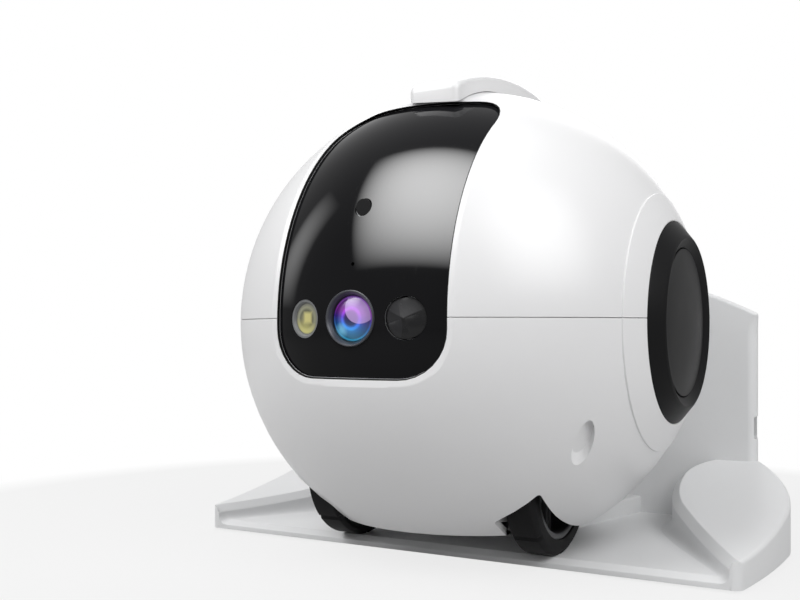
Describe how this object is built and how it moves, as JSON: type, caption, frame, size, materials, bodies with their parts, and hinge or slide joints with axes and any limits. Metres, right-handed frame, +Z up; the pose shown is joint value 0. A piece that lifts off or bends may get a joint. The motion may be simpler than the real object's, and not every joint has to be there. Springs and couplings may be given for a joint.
{
  "type": "treat tossing pet camera",
  "caption": "Round two-wheeled camera robot with a black front visor and a raised treat lid, parked on its charging dock.",
  "frame": {"origin": "middle of the footprint on the surface that the dock stands on", "axes": "+X to the robot's left side cap, -Y to its front, +Z up"},
  "size_m": [0.255, 0.2248, 0.2053],
  "materials": {
    "shell_white": "white moulded shell, soft gloss",
    "lid_white": "white moulded lid, satin",
    "ring_graphite": "dark graphite, fine matte",
    "cap_graphite": "dark graphite, satin",
    "visor_black": "piano black",
    "seal_black": "matte black",
    "bezel_black": "satin black",
    "lens_glass": "coated lens, blue and violet reflections",
    "lamp_lens": "pale yellow clear cover over a lamp",
    "sensor_black": "dark translucent dome",
    "tyre_grey": "dark grey rubber with cross grooves",
    "rim_grey": "mid grey satin",
    "steel": "plain steel",
    "contact_gold": "gold plated contact",
    "board_green": "circuit board",
    "inner_plastic": "dark grey moulding inside",
    "hopper_clear": "natural white moulding",
    "cell_blue": "wrapped battery cells",
    "dock_white": "white moulded dock, satin",
    "plate_grey": "dock underside",
    "foot_rubber": "matte rubber foot",
    "inlet_black": "black power inlet"
  },
  "bodies": {
    "dock": {"dock_housing": "dock_white", "dock_cover": "dock_white", "dock_bottom_plate": "plate_grey", "dock_screws": "steel", "dock_feet": "foot_rubber", "pin_spring_left": "steel", "pin_spring_right": "steel", "power_inlet": "inlet_black", "charger_board": "board_green"},
    "robot": {"upper_shell": "shell_white", "lower_shell": "shell_white", "shell_screws": "steel", "side_ring_left": "ring_graphite", "side_ring_right": "ring_graphite", "side_cap_left": "cap_graphite", "side_cap_right": "cap_graphite", "visor": "visor_black", "visor_seal": "seal_black", "visor_carrier": "inner_plastic", "lens_bezel": "bezel_black", "camera_lens": "lens_glass", "camera_barrel": "inner_plastic", "camera_board": "board_green", "lamp_window": "lamp_lens", "lamp_module": "hopper_clear", "sensor_dome": "sensor_black", "motion_sensor": "steel", "pointer_module": "inner_plastic", "microphone": "steel", "gear_motor_left": "steel", "gear_motor_right": "steel", "chassis": "inner_plastic", "main_board": "board_green", "battery_pack": "cell_blue", "battery_tray": "inner_plastic", "speaker": "inner_plastic", "charge_plates": "contact_gold", "button_switch": "inner_plastic", "lid_hinge_pin": "steel", "launch_chute": "hopper_clear", "launch_servo": "inner_plastic", "treat_hopper": "hopper_clear", "rotor_motor": "steel"},
    "left_wheel": {"tyre_left": "tyre_grey", "rim_left": "rim_grey", "axle_left": "steel"},
    "right_wheel": {"tyre_right": "tyre_grey", "rim_right": "rim_grey", "axle_right": "steel"},
    "castor_yoke": {"castor_fork": "inner_plastic", "castor_axle": "steel"},
    "castor_roller": {"castor_wheel": "rim_grey"},
    "lid": {"treat_lid": "lid_white"},
    "rotor": {"treat_rotor": "inner_plastic"},
    "paddle": {"launch_paddle": "inner_plastic"},
    "button": {"power_button": "cap_graphite"},
    "left_pin": {"charge_pin_left": "contact_gold"},
    "right_pin": {"charge_pin_right": "contact_gold"}
  },
  "joints": [
    {"name": "drive_off", "type": "slide", "parent": "dock", "child": "robot", "axis": [0, -1, 0], "range_m": [0, 0.15]},
    {"name": "left_wheel_spin", "type": "hinge", "parent": "robot", "child": "left_wheel", "pos_m": [0.04535, -0.03263, 0.0375], "axis": [1, 0, 0], "continuous": true},
    {"name": "right_wheel_spin", "type": "hinge", "parent": "robot", "child": "right_wheel", "pos_m": [-0.04535, -0.03263, 0.0375], "axis": [1, 0, 0], "continuous": true},
    {"name": "castor_swivel", "type": "hinge", "parent": "robot", "child": "castor_yoke", "pos_m": [0, 0.01738, 0.0311], "axis": [0, 0, 1], "continuous": true},
    {"name": "castor_roll", "type": "hinge", "parent": "castor_yoke", "child": "castor_roller", "pos_m": [0, 0.02237, 0.014], "axis": [1, 0, 0], "continuous": true},
    {"name": "lid_hinge", "type": "hinge", "parent": "robot", "child": "lid", "pos_m": [0.0064, 0.05937, 0.17411], "axis": [-1, 0, 0], "range_deg": [0, 65]},
    {"name": "rotor_spin", "type": "hinge", "parent": "robot", "child": "rotor", "pos_m": [0.0064, 0.01137, 0.1061], "axis": [1, 0, 0], "continuous": true},
    {"name": "paddle_throw", "type": "hinge", "parent": "robot", "child": "paddle", "pos_m": [0.0064, -0.02063, 0.0891], "axis": [-1, 0, 0], "range_deg": [0, 50]},
    {"name": "button_press", "type": "slide", "parent": "robot", "child": "button", "axis": [0, 0, 1], "range_m": [0, 0.0008], "stiffness_N_per_m": 400, "springref_m": -0.001},
    {"name": "left_pin_press", "type": "slide", "parent": "dock", "child": "left_pin", "axis": [0, 0, -1], "range_m": [0, 0.0012], "stiffness_N_per_m": 150, "springref_m": -0.002, "deforming": ["pin_spring_left"]},
    {"name": "right_pin_press", "type": "slide", "parent": "dock", "child": "right_pin", "axis": [0, 0, -1], "range_m": [0, 0.0012], "stiffness_N_per_m": 150, "springref_m": -0.002, "deforming": ["pin_spring_right"]}
  ]
}
